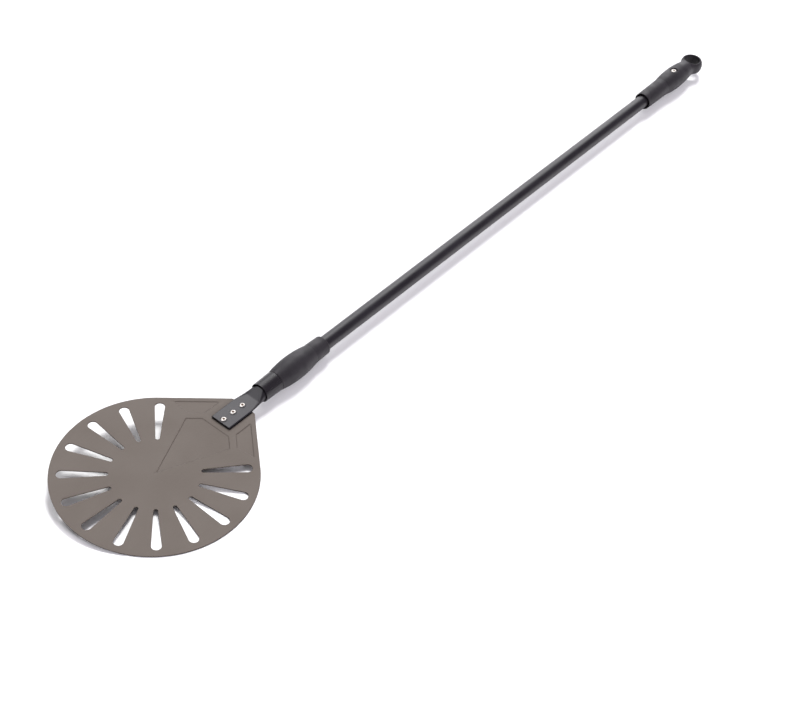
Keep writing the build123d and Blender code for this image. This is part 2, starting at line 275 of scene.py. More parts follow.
class Nodes:
    """Short calls for building one node tree."""

    def __init__(self, tree, coordinates):
        self.tree = tree
        self.place = tree.nodes.new("ShaderNodeTexCoord").outputs[coordinates]

    def link(self, source, target):
        self.tree.links.new(source, target)

    def fill(self, socket, value):
        if isinstance(value, bpy.types.NodeSocket):
            self.link(value, socket)
        else:
            socket.default_value = value

    def stretched(self, scale):
        """Object coordinates scaled by a different factor along each axis."""
        node = self.tree.nodes.new("ShaderNodeMapping")
        node.inputs["Scale"].default_value = scale
        self.link(self.place, node.inputs["Vector"])
        return node.outputs["Vector"]

    def noise(self, scale, detail=2.0, roughness=0.5, vector=None):
        node = self.tree.nodes.new("ShaderNodeTexNoise")
        node.inputs["Scale"].default_value = scale
        node.inputs["Detail"].default_value = detail
        node.inputs["Roughness"].default_value = roughness
        self.link(vector or self.place, node.inputs["Vector"])
        return node.outputs["Fac"]

    def cells(self, scale):
        node = self.tree.nodes.new("ShaderNodeTexVoronoi")
        node.inputs["Scale"].default_value = scale
        self.link(self.place, node.inputs["Vector"])
        return node.outputs["Distance"]

    def ramp(self, value, low, high, to_low=0.0, to_high=1.0):
        """Maps low..high smoothly to to_low..to_high, and clamps."""
        node = self.tree.nodes.new("ShaderNodeMapRange")
        node.interpolation_type = "SMOOTHSTEP"
        node.inputs["From Min"].default_value = low
        node.inputs["From Max"].default_value = high
        node.inputs["To Min"].default_value = to_low
        node.inputs["To Max"].default_value = to_high
        self.link(value, node.inputs["Value"])
        return node.outputs["Result"]

    def math(self, operation, a, b=0.0):
        node = self.tree.nodes.new("ShaderNodeMath")
        node.operation = operation
        self.fill(node.inputs[0], a)
        self.fill(node.inputs[1], b)
        return node.outputs["Value"]

    def mix(self, factor, a, b, blend="MIX"):
        """The colour a where factor is 0 and b where it is 1; or b on top of a with the blend ADD."""
        node = self.tree.nodes.new("ShaderNodeMix")
        node.data_type = "RGBA"
        node.blend_type = blend
        self.fill(node.inputs["Factor"], factor)
        colours = [socket for socket in node.inputs if socket.type == "RGBA"]
        for socket, colour in zip(colours, (a, b)):
            self.fill(socket, colour)
        return [socket for socket in node.outputs if socket.type == "RGBA"][0]

    def edges(self, width):
        """1 on convex edges sharper than the bevel width, 0 on flats."""
        bevel = self.tree.nodes.new("ShaderNodeBevel")
        bevel.samples = 4
        bevel.inputs["Radius"].default_value = width
        geometry = self.tree.nodes.new("ShaderNodeNewGeometry")
        return self.ramp(self.dot(bevel.outputs["Normal"], geometry.outputs["Normal"]), 1.0, 0.8)

    def painted_shade_mask(self, reach):
        """1 on open faces, 0 close to where two pieces or two faces meet: the mask for painted shade in
        corners and at contacts.
        """
        node = self.tree.nodes.new("ShaderNodeAmbientOcclusion")
        node.samples = 8
        node.inputs["Distance"].default_value = reach
        return self.ramp(node.outputs["AO"], 0.5, 0.9)

    def bump(self, height, strength, distance, normal=None):
        node = self.tree.nodes.new("ShaderNodeBump")
        node.inputs["Strength"].default_value = strength
        node.inputs["Distance"].default_value = distance
        self.link(height, node.inputs["Height"])
        if normal is not None:
            self.link(normal, node.inputs["Normal"])
        return node.outputs["Normal"]

    def dot(self, vector, along):
        """How far the vector reaches along the given direction."""
        node = self.tree.nodes.new("ShaderNodeVectorMath")
        node.operation = "DOT_PRODUCT"
        self.fill(node.inputs[0], vector)
        self.fill(node.inputs[1], along)
        return node.outputs["Value"]


class Material(Nodes):
    """The node tree of one new material."""

    def __init__(self, name):
        self.material = bpy.data.materials.new(name)
        self.material.use_nodes = True
        self.shader = self.material.node_tree.nodes["Principled BSDF"]
        super().__init__(self.material.node_tree, "Object")

    def finish(self, colour, roughness, metallic=0.0, normal=None, specular=0.5):
        self.fill(self.shader.inputs["Base Color"], colour)
        self.fill(self.shader.inputs["Roughness"], roughness)
        self.fill(self.shader.inputs["Metallic"], metallic)
        if normal is not None:
            self.link(normal, self.shader.inputs["Normal"])
        self.fill(self.shader.inputs["Specular IOR Level"], specular)
        return self.material


def grey(value, warm=0.0):
    """A near-neutral linear colour; warm above 0 leans to brown, below 0 to blue."""
    return (value * (1 + warm), value, value * (1 - warm), 1.0)


def anodised_sheet():
    """Hard-anodised aluminium: warm grey and matte, with a fine etched grain and faint rolling streaks."""
    n = Material("anodised_sheet")
    clouds = n.noise(18, detail=3)
    streaks = n.noise(1, detail=4, vector=n.stretched((30, 900, 30)))
    grain = n.noise(2600, detail=2)
    base = n.mix(n.ramp(clouds, 0.3, 0.7), (0.081, 0.067, 0.057, 1), (0.089, 0.074, 0.063, 1))
    base = n.mix(n.ramp(streaks, 0.35, 0.75, 0, 0.25), base, (0.072, 0.06, 0.051, 1))
    base = n.mix(n.ramp(grain, 0.35, 0.7, 0, 0.35), base, (0.104, 0.088, 0.076, 1))
    # Convex edges lighter where the anodising is worn.
    lighter_edges = n.math("MULTIPLY", n.edges(0.3 * MM), n.ramp(n.noise(220, detail=4), 0.45, 0.7, 0, 0.5))
    base = n.mix(lighter_edges, base, (0.22, 0.2, 0.19, 1))
    # Painted shade: the sheet darkens to near black, and its reflection fades, close to the tang, the
    # rivets and other faces it meets.
    painted_shade_mask = n.painted_shade_mask(4.5 * MM)
    base = n.mix(painted_shade_mask, grey(0.004), base)
    roughness = n.ramp(clouds, 0.3, 0.7, 0.5, 0.58)
    normal = n.bump(grain, 0.25, 0.04 * MM)
    specular = n.math("MULTIPLY", painted_shade_mask, 0.4)
    return n.finish(base, roughness, metallic=0.35, normal=normal, specular=specular)


def powder_coat():
    """Satin black powder coat with a fine orange peel."""
    n = Material("powder_coat")
    peel = n.noise(650, detail=2)
    dust = n.noise(3200, detail=1)
    clouds = n.noise(25, detail=3)
    base = n.mix(n.ramp(clouds, 0.3, 0.7), (0.0075, 0.006, 0.008, 1), (0.01, 0.0085, 0.011, 1))
    base = n.mix(n.ramp(dust, 0.66, 0.8, 0, 0.5), base, grey(0.03))
    # Convex edges lighter: partly worn paint, partly a painted glint along the tang's edges.
    lighter_edges = n.math("MULTIPLY", n.edges(0.45 * MM), n.ramp(n.noise(260, detail=3), 0.4, 0.6, 0.15, 0.7))
    base = n.mix(lighter_edges, base, grey(0.28, 0.03))
    # Painted shade: the coat's reflection fades close to the blade, the grips and into creases.
    specular = n.math("MULTIPLY", n.painted_shade_mask(2.5 * MM), 0.45)
    roughness = n.ramp(clouds, 0.3, 0.7, 0.33, 0.4)
    normal = n.bump(dust, 0.1, 0.02 * MM, normal=n.bump(peel, 0.22, 0.12 * MM))
    return n.finish(base, roughness, normal=normal, specular=specular)


def sleeve_plastic():
    """Smooth moulded plastic with a satin sheen."""
    n = Material("sleeve_plastic")
    flow = n.noise(1, detail=3, vector=n.stretched((40, 260, 260)))
    clouds = n.noise(60, detail=3)
    base = n.mix(n.ramp(clouds, 0.3, 0.7), (0.0095, 0.008, 0.01, 1), (0.0125, 0.011, 0.013, 1))
    roughness = n.ramp(flow, 0.3, 0.7, 0.22, 0.3)
    normal = n.bump(n.noise(900, detail=2), 0.12, 0.05 * MM)
    return n.finish(base, roughness, normal=normal, specular=0.3)


def grip_plastic():
    """Matte moulded plastic with a fine leathery grain and rubbed high spots."""
    n = Material("grip_plastic")
    grain = n.cells(1500)
    fine = n.noise(2600, detail=2)
    rubbed = n.noise(70, detail=4)
    base = n.mix(n.ramp(rubbed, 0.35, 0.7), (0.015, 0.0135, 0.0155, 1), (0.02, 0.018, 0.0205, 1))
    base = n.mix(n.ramp(fine, 0.6, 0.78, 0, 0.4), base, (0.032, 0.03, 0.032, 1))
    roughness = n.ramp(rubbed, 0.35, 0.7, 0.54, 0.42)
    normal = n.bump(fine, 0.15, 0.03 * MM, normal=n.bump(grain, 0.35, 0.08 * MM))
    return n.finish(base, roughness, normal=normal, specular=0.26)


def rivet_metal():
    """Bright bare aluminium, lightly scuffed when the rivet was set."""
    n = Material("rivet_metal")
    scuffs = n.noise(1, detail=4, vector=n.stretched((2500, 500, 2500)))
    stains = n.noise(500, detail=3)
    base = n.mix(n.ramp(stains, 0.35, 0.7), (0.5, 0.475, 0.45, 1), (0.33, 0.3, 0.27, 1))
    roughness = n.ramp(scuffs, 0.3, 0.7, 0.2, 0.38)
    return n.finish(base, roughness, metallic=1.0, normal=n.bump(scuffs, 0.2, 0.05 * MM))


def stem_steel():
    """Dull brownish steel with a torn end."""
    n = Material("stem_steel")
    torn = n.noise(2200, detail=4)
    rust = n.noise(900, detail=3)
    base = n.mix(n.ramp(rust, 0.3, 0.7), (0.035, 0.018, 0.011, 1), (0.08, 0.045, 0.028, 1))
    return n.finish(base, 0.6, metallic=0.2, normal=n.bump(torn, 0.6, 0.3 * MM))


# ---------------------------------------------------------------- blade


def on_side_line(distance, x=None, y=None):
    """The point at the given x or y on the line parallel to a straight side, distance from the centre."""
    cosine, sine = math.cos(SIDE_ANGLE), math.sin(SIDE_ANGLE)
    if x is None:
        return ((distance - y * sine) / cosine, y)
    return (x, (distance - x * cosine) / sine)


def blade_outline(inset):
    """The blade's outline moved inwards by the inset, with the same number of points for any inset."""
    radius = BLADE_RADIUS - inset
    far_side = arc((0, 0), radius, SIDE_ANGLE, 2 * math.pi - SIDE_ANGLE, 300)
    tip_x = BLADE_TIP_X - inset
    upper = np.array(on_side_line(radius, x=tip_x))
    lower = np.array([upper[0], -upper[1]])
    corner = TIP_CORNER - inset
    lower_corner = rounded_corner(far_side[-1], lower, upper, corner)
    upper_corner = rounded_corner(lower, upper, far_side[0], corner)
    straight = np.linspace(0, 1, 24)[1:-1, None]
    lower_side = far_side[-1] + (lower_corner[0] - far_side[-1]) * straight
    upper_side = upper_corner[-1] + (far_side[0] - upper_corner[-1]) * straight
    return np.vstack([far_side, lower_side, lower_corner, upper_corner, upper_side])


def slot_outline(turn, grow):
    """One slot's outline, grown by the given amount, turned about the blade's centre."""
    (inner_x, inner_radius), (outer_x, outer_radius) = SLOT_INNER, SLOT_OUTER
    lean = math.asin((outer_radius - inner_radius) / (outer_x - inner_x))
    quarter = math.pi / 2
    outer_end = arc((outer_x, 0), outer_radius + grow, -quarter - lean, quarter + lean, 28)
    inner_end = arc((inner_x, 0), inner_radius + grow, quarter + lean, 3 * quarter - lean, 16)
    along = np.linspace(0, 1, 14)[1:-1, None]
    upper = outer_end[-1] + (inner_end[0] - outer_end[-1]) * along
    lower = inner_end[-1] + (outer_end[0] - inner_end[-1]) * along
    outline = np.vstack([outer_end, upper, inner_end, lower])
    spin = np.array([[math.cos(turn), math.sin(turn)], [-math.sin(turn), math.cos(turn)]])
    return outline @ spin


def rivet_hole(x, grow):
    return arc((x, 0), RIVET_HOLE_RADIUS + grow, 0, 2 * math.pi, 32)[:-1]


def panel_corners():
    """The corners of the centre panel and of the two side panels, anticlockwise."""
    centre = [
        (0.0, 0.0),
        (on_side_line(CENTRE_PANEL_EDGE, y=CENTRE_PANEL_SIDE_Y)[0], -CENTRE_PANEL_SIDE_Y),
        (on_side_line(CENTRE_PANEL_EDGE, y=CENTRE_PANEL_FRONT_Y)[0], -CENTRE_PANEL_FRONT_Y),
        on_side_line(CENTRE_PANEL_EDGE, y=CENTRE_PANEL_FRONT_Y),
        on_side_line(CENTRE_PANEL_EDGE, y=CENTRE_PANEL_SIDE_Y),
    ]
    side = [
        on_side_line(SIDE_PANEL_INNER, x=SIDE_PANEL_BACK_INNER_X),
        on_side_line(SIDE_PANEL_INNER, y=SIDE_PANEL_Y),
        on_side_line(SIDE_PANEL_OUTER, y=SIDE_PANEL_Y),
        on_side_line(SIDE_PANEL_OUTER, x=SIDE_PANEL_BACK_OUTER_X),
    ]
    return [centre, side, [(x, -y) for x, y in reversed(side)]]


def panel_ring(corners, inset):
    """A panel's outline moved inwards by the inset; its rounded corners keep their centres."""
    corners = np.array(corners, float)
    points = []
    for index, corner in enumerate(corners):
        before, after = corners[index - 1], corners[(index + 1) % len(corners)]
        full = rounded_corner(before, corner, after, PANEL_CORNER, steps=8)
        tangent_in = (corner - before) / np.linalg.norm(corner - before)
        inward = np.array([-tangent_in[1], tangent_in[0]])
        centre = full[0] + inward * PANEL_CORNER
        points.append(centre + (full - centre) * (PANEL_CORNER - inset) / PANEL_CORNER)
    return np.vstack(points)


def pressed_height(share):
    """Height down a pressed wall, from 0 at its top to -PANEL_DEPTH at its foot, rounded at both ends."""
    return -PANEL_DEPTH * share * share * (3 - 2 * share)


def inside(points, outline):
    """True for each point that lies inside the closed outline."""
    x, y = points[:, 0][:, None], points[:, 1][:, None]
    x1, y1 = outline[:, 0], outline[:, 1]
    x2, y2 = np.roll(x1, -1), np.roll(y1, -1)
    crosses = (y1 > y) != (y2 > y)
    rise = np.where(y2 == y1, 1, y2 - y1)
    return (crosses & (x < (x2 - x1) * (y - y1) / rise + x1)).sum(1) % 2 == 1


def blade_voids():
    """Each hole through the sheet, as a function from growth to outline, with the rounding of its edge."""
    middle = (SLOT_COUNT - 1) / 2
    turns = [math.pi + SLOT_PITCH * (index - middle) for index in range(SLOT_COUNT)]
    slots = [(partial(slot_outline, turn), BLADE_EDGE) for turn in turns]
    return slots + [(partial(rivet_hole, x), RIVET_HOLE_EDGE) for x in rivet_places()]


def rivet_places():
    first = rivets_low.x + BLADE_RIVET_HEAD_RADIUS
    last = rivets_high.x - BLADE_RIVET_HEAD_RADIUS
    return np.linspace(first, last, BLADE_RIVET_COUNT)


def wall_rings():
    """The rings that divide the pressed wall round each panel."""
    steps = 6
    return [
        resample(panel_ring(corners, step / steps * PANEL_SLOPE), 4 * MM)
        for corners in panel_corners()
        for step in range(steps + 1)
    ]


def on_sheet(points, rim, holes):
    """True for each point that lies inside the rim and outside every hole."""
    result = inside(points, rim)
    for hole in holes:
        result &= ~inside(points, hole)
    return result


def filler_points(rim, holes, borders):
    """An even triangular grid of points over the sheet, clear of the borders."""
    spacing = 5 * MM
    clearance = 2 * MM
    rows = np.arange(-BLADE_RADIUS, BLADE_RADIUS, spacing * math.sqrt(0.75))
    columns = np.arange(-BLADE_RADIUS, BLADE_TIP_X, spacing)
    grid = np.array([(x + (i % 2) * spacing / 2, y) for i, y in enumerate(rows) for x in columns])
    away = np.array([np.min(np.hypot(*(borders - p).T)) > clearance for p in grid])
    return grid[away & on_sheet(grid, rim, holes)]


def triangle_heights(corners):
    """Each triangle's height above its longest side."""
    sides = corners - np.roll(corners, 1, axis=1)
    longest = np.linalg.norm(sides, axis=2).max(1)
    return np.abs(sides[:, 0, 0] * sides[:, 1, 1] - sides[:, 0, 1] * sides[:, 1, 0]) / longest


def blade_flat_mesh():
    """The sheet's top face up to its rounded edges, as points in the plane and triangles."""
    rim = blade_outline(BLADE_EDGE)
    holes = [outline_at(edge) for outline_at, edge in blade_voids()]
    loops = [rim] + holes + wall_rings()
    points, edges = [], []
    for loop in loops:
        first = len(points)
        points += [Vector(p) for p in loop]
        edges += [(first + i, first + (i + 1) % len(loop)) for i in range(len(loop))]
    points += [Vector(p) for p in filler_points(rim, holes, np.vstack(loops))]
    out, _, triangles, _, _, _ = delaunay_2d_cdt(points, edges, [], 0, 1e-9)
    plane = np.array([tuple(p) for p in out])
    triangles = np.array(triangles)
    corners = plane[triangles]
    keep = on_sheet(corners.mean(1), rim, holes) & (triangle_heights(corners) > SLIVER)
    return plane, triangles[keep]


def blade_height(plane):
    """The pressed height of the sheet's top face at each point of the plane."""
    height = np.zeros(len(plane))
    for corners in panel_corners():
        corners = np.array(corners, float)
        tangents = np.roll(corners, -1, 0) - corners
        tangents /= np.linalg.norm(tangents, axis=1)[:, None]
        inward = np.column_stack([-tangents[:, 1], tangents[:, 0]])
        depth_in = ((plane[:, None, :] - corners[None]) * inward[None]).sum(2)
        nearest = np.sort(depth_in, axis=1)
        share = np.clip(nearest[:, 0] / PANEL_SLOPE, 0, 1)
        height = np.minimum(height, pressed_height(share))
    return height


def rim_rings(outline_at, edge):
    """The rings of a rounded edge, from the top face round to the underside; outline_at takes the inset."""
    rings = []
    steps = 4
    for step in range(steps + 1):
        angle = math.pi / 2 * step / steps
        rings.append((outline_at(edge * (1 - math.sin(angle))), -edge * (1 - math.cos(angle))))
    under = [(ring, -BLADE_THICKNESS - z) for ring, z in reversed(rings)]
    return rings + under


def build_blade(material):
    plane, triangles = blade_flat_mesh()
    height = blade_height(plane)
    count = len(plane)
    top = np.column_stack([plane, height])
    bottom = np.column_stack([plane, height - BLADE_THICKNESS])
    vertices = [top, bottom]
    faces = [tuple(t) for t in triangles] + [tuple(t[::-1] + count) for t in triangles]
    first = 2 * count
    for outline_at, edge in [(blade_outline, BLADE_EDGE)] + blade_voids():
        rings = rim_rings(outline_at, edge)
        size = len(rings[0][0])
        for ring, z in rings:
            vertices.append(np.column_stack([ring, np.full(size, z)]))
        faces += grid_faces(len(rings), size, first=first)
        first += size * len(rings)
    blade = new_piece("blade_sheet", np.vstack(vertices), faces, material, sharp_angle=60)
    work = bmesh.new()
    work.from_mesh(blade.data)
    bmesh.ops.remove_doubles(work, verts=work.verts, dist=0.5e-6)
    bmesh.ops.recalc_face_normals(work, faces=work.faces)
    work.to_mesh(blade.data)
    work.free()
    blade.data.shade_smooth()
    keep_flats_flat(blade)
    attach(blade, "peel")
    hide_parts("blade")


# ---------------------------------------------------------------- handle


def handle_section(crest_half_width, height, half_width, domed, steps=24):
    """Points of one section across the handle: two flat or domed crests joined by an arc on each side."""
    crest_y = np.linspace(-crest_half_width, crest_half_width, steps + 1)
    crest_z = np.full(steps + 1, height)
    if domed:
        crest_z *= np.sqrt(1 - (crest_y / half_width) ** 2)
    shoulder = crest_z[-1]
    side = arc_through(
        (crest_half_width, shoulder), (half_width, 0), (crest_half_width, -shoulder), 2 * steps
    )
    top = np.column_stack([crest_y, crest_z])[:-1]
    right = side[:-1]
    return np.vstack([top, right, -top, -right])


def smoothed_ring(points, passes):
    """The closed ring of points with its corners eased."""
    for _ in range(passes):
        points = points / 2 + (np.roll(points, 1, 0) + np.roll(points, -1, 0)) / 4
    return points


def handle_surface(inset):
    """The stations along the handle and the section at each, for the outside or the inside of the wall."""
    half_height = TANG_HALF_HEIGHT - inset
    flat = TANG_HALF_WIDTH - TANG_HALF_HEIGHT
    radius = TUBE_RADIUS - inset
    ridge = radius * math.sin(RAMP_RIDGE_ANGLE)
    tang = handle_section(flat, half_height, TANG_HALF_WIDTH - inset, domed=False)
    start = handle_section(RAMP_START_FLAT, half_height, RAMP_START_HALF_WIDTH - inset, domed=False)
    crest = handle_section(ridge, RAMP_CREST_HEIGHT - inset, RAMP_CREST_HALF_WIDTH - inset, domed=True)
    tube = handle_section(ridge, radius, radius, domed=True)
    keys_x = [TANG_NARROWS_X, RAMP_START_X, RAMP_CREST_X, RAMP_END_X]
    keys = np.array([tang, start, crest, tube])
    step, margin = 0.5 * MM, 12 * MM
    fine_x = np.arange(TANG_NARROWS_X - margin, RAMP_END_X + margin, step)
    sections = np.empty((len(fine_x), len(tang), 2))
    for point in range(len(tang)):
        for axis in range(2):
            sections[:, point, axis] = np.interp(fine_x, keys_x, keys[:, point, axis])
    reach = 2
    kernel = np.hanning(2 * reach + 3)[1:-1]
    kernel /= kernel.sum()
    padded = np.concatenate([sections[:1].repeat(reach, 0), sections, sections[-1:].repeat(reach, 0)])
    sections = sum(weight * padded[i : i + len(fine_x)] for i, weight in enumerate(kernel))
    sections = np.array([smoothed_ring(section, 2) for section in sections])
    return fine_x, sections


def build_handle(material):
    fine_x, outside = handle_surface(0.0)
    _, inside_wall = handle_surface(TUBE_WALL)
    start, end = handle_low.x, handle_high.x
    edge = 0.3 * MM
    edge_zone = 3 * MM
    columns = outside.shape[1]
    rings = []

    def add(x, section, shrink=0.0):
        y, z = section[:, 0], section[:, 1]
        scale_y = 1 - shrink / np.abs(y).max()
        scale_z = 1 - shrink / np.abs(z).max()
        rings.append(np.column_stack([np.full(columns, x), y * scale_y, AXIS_Z + z * scale_z]))

    quarter = np.linspace(0, math.pi / 2, 5)
    for angle in quarter:
        add(start + edge * (1 - math.sin(angle)), outside[0], edge * (1 - math.cos(angle)))
    rings = rings[::-1]
    for x in np.linspace(start + edge_zone, fine_x[0], 10)[:-1]:
        add(x, outside[0])
    for x, section in zip(fine_x, outside):
        add(x, section)
    for x in np.linspace(fine_x[-1], end, 60)[1:]:
        add(x, outside[-1])
    for x in np.linspace(end, fine_x[-1], 20)[:-1]:
        add(x, inside_wall[-1])
    for x, section in zip(fine_x[::-1], inside_wall[::-1]):
        add(x, section)
    add(start, inside_wall[0])
    vertices = np.vstack(rings)
    faces = grid_faces(len(rings), columns, close_rows=True)
    handle = new_piece("handle", vertices, faces, material, sharp_angle=50)
    keep_flats_flat(handle)
    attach(handle, "peel")
    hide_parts("handle_tube")


# ---------------------------------------------------------------- rivets


def rivet_profile(head_radius, tail_bottom):
    """A set blind rivet's outline as (height above the seat, radius), open round its stem."""
    rim = RIVET_BORE_RADIUS + RIVET_RIM
    head_edge, shoulder = 0.25 * MM, 0.98 * MM
    crown = arc_through(
        (head_edge, head_radius), (shoulder, 0.78 * head_radius), (RIVET_HEAD_HEIGHT, rim), 14
    )
    tail = arc_through(
        (tail_bottom, RIVET_BORE_RADIUS + 2 * RIVET_RIM),
        (tail_bottom + RIVET_TAIL_LENGTH / 2, RIVET_TAIL_RADIUS),
        (tail_bottom + RIVET_TAIL_LENGTH, RIVET_SHANK_RADIUS),
        14,
    )
    bore = [(RIVET_HEAD_HEIGHT - STEM_TOP_DEPTH, RIVET_BORE_RADIUS), (tail_bottom, RIVET_BORE_RADIUS)]
    under_head = [
        (0.0, RIVET_SHANK_RADIUS),
        (0.0, head_radius - 0.15 * MM),
        (0.08 * MM, head_radius - 0.02 * MM),
    ]
    return [tuple(p) for p in np.vstack([crown, bore, tail, under_head])]


def stem_profile(tail_bottom):
    """The stem's outline as (height above the seat, radius), with a torn, slightly hollow top."""
    top = RIVET_HEAD_HEIGHT - STEM_TOP_DEPTH
    bottom = tail_bottom - STEM_HEAD_LENGTH
    almost_axis = 0.02 * MM
    return [
        (top - 0.15 * MM, almost_axis),
        (top - 0.04 * MM, 0.5 * STEM_TOP_RADIUS),
        (top, 0.75 * STEM_TOP_RADIUS),
        (top - 0.1 * MM, STEM_TOP_RADIUS),
        (tail_bottom, STEM_TOP_RADIUS),
        (tail_bottom, STEM_HEAD_RADIUS),
        (bottom + 0.4 * MM, STEM_HEAD_RADIUS),
        (bottom + 0.1 * MM, STEM_HEAD_RADIUS - 0.2 * MM),
        (bottom, STEM_HEAD_RADIUS - 0.7 * MM),
        (bottom, almost_axis),
    ]


def build_rivets(name, node, slot, material, profile, places, seat):
    vertices, faces = [], []
    for x in places:
        ring, ring_faces = lathe(profile, axis_z=seat, segments=64, along="Z", offset=(x, 0))
        first = sum(len(v) for v in vertices)
        vertices.append(ring)
        faces += [tuple(first + i for i in face) for face in ring_faces]
    piece = new_piece(name, np.vstack(vertices), faces, material, sharp_angle=45)
    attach(piece, "peel")
    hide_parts(node)


def build_all_rivets(metal, steel):
    blade_tail = rivets_low.z - BLADE_RIVET_SEAT
    butt_tail = butt_rivet_low.z - BUTT_RIVET_SEAT
    blade_set = (rivet_places(), BLADE_RIVET_SEAT)
    butt_set = ([BUTT_RIVET_X], BUTT_RIVET_SEAT)
    blade_sleeve = rivet_profile(BLADE_RIVET_HEAD_RADIUS, blade_tail)
    butt_sleeve = rivet_profile(BUTT_RIVET_HEAD_RADIUS, butt_tail)
    blade_pin = stem_profile(blade_tail)
    butt_pin = stem_profile(butt_tail)
    build_rivets("blade_rivet_sleeves", "blade_rivets", "rivet_metal", metal, blade_sleeve, *blade_set)
    build_rivets("blade_rivet_pins", "blade_rivet_stems", "stem_steel", steel, blade_pin, *blade_set)
    build_rivets("butt_rivet_sleeves", "butt_rivet", "rivet_metal", metal, butt_sleeve, *butt_set)
    build_rivets("butt_rivet_pins", "butt_rivet_stem", "stem_steel", steel, butt_pin, *butt_set)


# ---------------------------------------------------------------- sliding grip


def build_grip_sleeve(material):
    start, rear = sleeve_low.x, sleeve_high.x
    bore = TUBE_RADIUS + 0.3 * MM
    corners = [
        (start, SLEEVE_MOUTH_RADIUS),
        (start, GRIP_MOUTH_RADIUS),
        (COLLAR_END_X, COLLAR_END_RADIUS),
        (COLLAR_END_X, SLEEVE_RADIUS),
        (rear, SLEEVE_RADIUS),
        (rear, bore),
        (start + MOUTH_BORE_LENGTH, bore),
        (start + MOUTH_BORE_LENGTH, SLEEVE_MOUTH_RADIUS),
    ]
    radii = [0.2 * MM, 0.3 * MM, 0.3 * MM, 0, 0, 0, 0, 0]
    profile = resample(rounded_outline(corners, radii, steps=5), 4 * MM)
    vertices, faces = lathe(profile, axis_z=AXIS_Z)
    sleeve = new_piece("grip_inner_sleeve", vertices, faces, material)
    keep_flats_flat(sleeve)
    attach(sleeve, "sliding_sleeve")
    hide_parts("grip_sleeve")


def build_grip_shell(material):
    start, end = shell_low.x, shell_high.x
    bore = SLEEVE_RADIUS + 0.25 * MM
    lip = TUBE_RADIUS + 0.45 * MM
    lip_start = end - 3.3 * MM
    bulge = arc_through(
        (start + 0.3 * MM, COLLAR_END_RADIUS + 0.05 * MM),
        (GRIP_PEAK_X, GRIP_PEAK_RADIUS),
        (GRIP_NECK_X, GRIP_NECK_RADIUS),
        40,
    )
    neck = [(GRIP_NECK_X + 3 * MM, GRIP_NECK_RADIUS + 0.02 * MM)]
    rear_edge = rounded_corner(neck[0], (end, GRIP_END_RADIUS), (end, lip), 1.3 * MM, steps=16)
    inner = [(end, lip + 0.3 * MM), (end - 0.3 * MM, lip), (lip_start, lip), (lip_start, bore)]
    front = [(start, bore), (start, COLLAR_END_RADIUS - 0.25 * MM)]
    profile = np.vstack([bulge, neck, rear_edge, inner, front])
    vertices, faces = lathe(resample(profile, 3 * MM), axis_z=AXIS_Z)
    shell = new_piece("grip_outer_shell", vertices, faces, material, sharp_angle=8)
    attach(shell, "turning_shell")
    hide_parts("grip_shell")


# ---------------------------------------------------------------- butt grip


def soft_max(a, b, width):
    """The larger of a and b, with the corner between them rounded over about the given width."""
    share = np.clip(0.5 + (a - b) / (2 * width), 0, 1)
    return b + (a - b) * share + width * share * (1 - share)


def soft_min(a, b, width):
    return -soft_max(-a, -b, width)


def butt_radius(x):
    """The butt grip's outer radius at each place along the handle, without the eye."""
    kink = (BUTT_KINK_X, BUTT_KINK_RADIUS)
    peak = (BUTT_PEAK_X, BUTT_PEAK_RADIUS)
    neck = (BUTT_NECK_X, BUTT_NECK_RADIUS)
    bulge = arc_through(kink, peak, neck, 60)
    xs = np.concatenate([[butt_low.x], bulge[:, 0], [EYE_X]])
    radii = np.concatenate([[GRIP_MOUTH_RADIUS], bulge[:, 1], [BUTT_NECK_RADIUS]])
    return np.interp(x, xs, radii)


def butt_field(points):
    """Signed distance-like field of the butt grip: negative inside."""
    x, y, z = points[:, 0], points[:, 1], points[:, 2] - AXIS_Z
    around = np.hypot(y, z)
    body = soft_max(around - butt_radius(x), butt_low.x - x, 0.4 * MM)
    body = soft_max(body, x - EYE_X, 2 * MM)
    across = np.hypot(x - EYE_X, y)
    ball = np.sqrt(across**2 + z**2) - EYE_RADIUS
    ball = soft_max(ball, np.abs(z) - EYE_HALF_HEIGHT, 1.2 * MM)
    solid = soft_min(body, ball, 2.2 * MM)
    flare = np.clip((np.abs(z) - EYE_FLARE_HEIGHT) / (EYE_HALF_HEIGHT - EYE_FLARE_HEIGHT), 0, 2)
    hole = across - (EYE_HOLE_RADIUS + (EYE_RIM_RADIUS - EYE_HOLE_RADIUS) * flare**2)
    solid = soft_max(solid, -hole, 0.7 * MM)
    mouth = soft_max(around - BUTT_MOUTH_RADIUS, x - butt_low.x - MOUTH_BORE_LENGTH, 0.3 * MM)
    bore = soft_max(around - (TUBE_RADIUS + 0.05 * MM), x - handle_high.x, 0.3 * MM)
    solid = soft_max(solid, -mouth, 0.2 * MM)
    solid = soft_max(solid, -bore, 0.2 * MM)
    beside_rivet = np.hypot(x - BUTT_RIVET_X, y)
    recess_floor = BUTT_RIVET_SEAT - AXIS_Z
    recess = soft_max(beside_rivet - BUTT_RECESS_RADIUS, recess_floor - z, 0.4 * MM)
    solid = soft_max(solid, -recess, 0.5 * MM)
    shank = soft_max(beside_rivet - BUTT_SHANK_RADIUS, -z, 0.2 * MM)
    return soft_max(solid, -shank, 0.1 * MM)


def onto_surface(points, field, steps, reach):
    """Moves the points along the field's gradient onto its zero level."""
    small = 0.02 * MM
    for _ in range(steps):
        value = field(points)
        gradient = np.empty_like(points)
        for axis in range(3):
            shift = np.zeros(3)
            shift[axis] = small
            gradient[:, axis] = (field(points + shift) - field(points - shift)) / (2 * small)
        square = np.maximum((gradient**2).sum(1), 0.05)
        move = -value[:, None] * gradient / square[:, None]
        length = np.maximum(np.linalg.norm(move, axis=1), 1e-12)
        points = points + move * np.minimum(1, reach / length)[:, None]
    return points


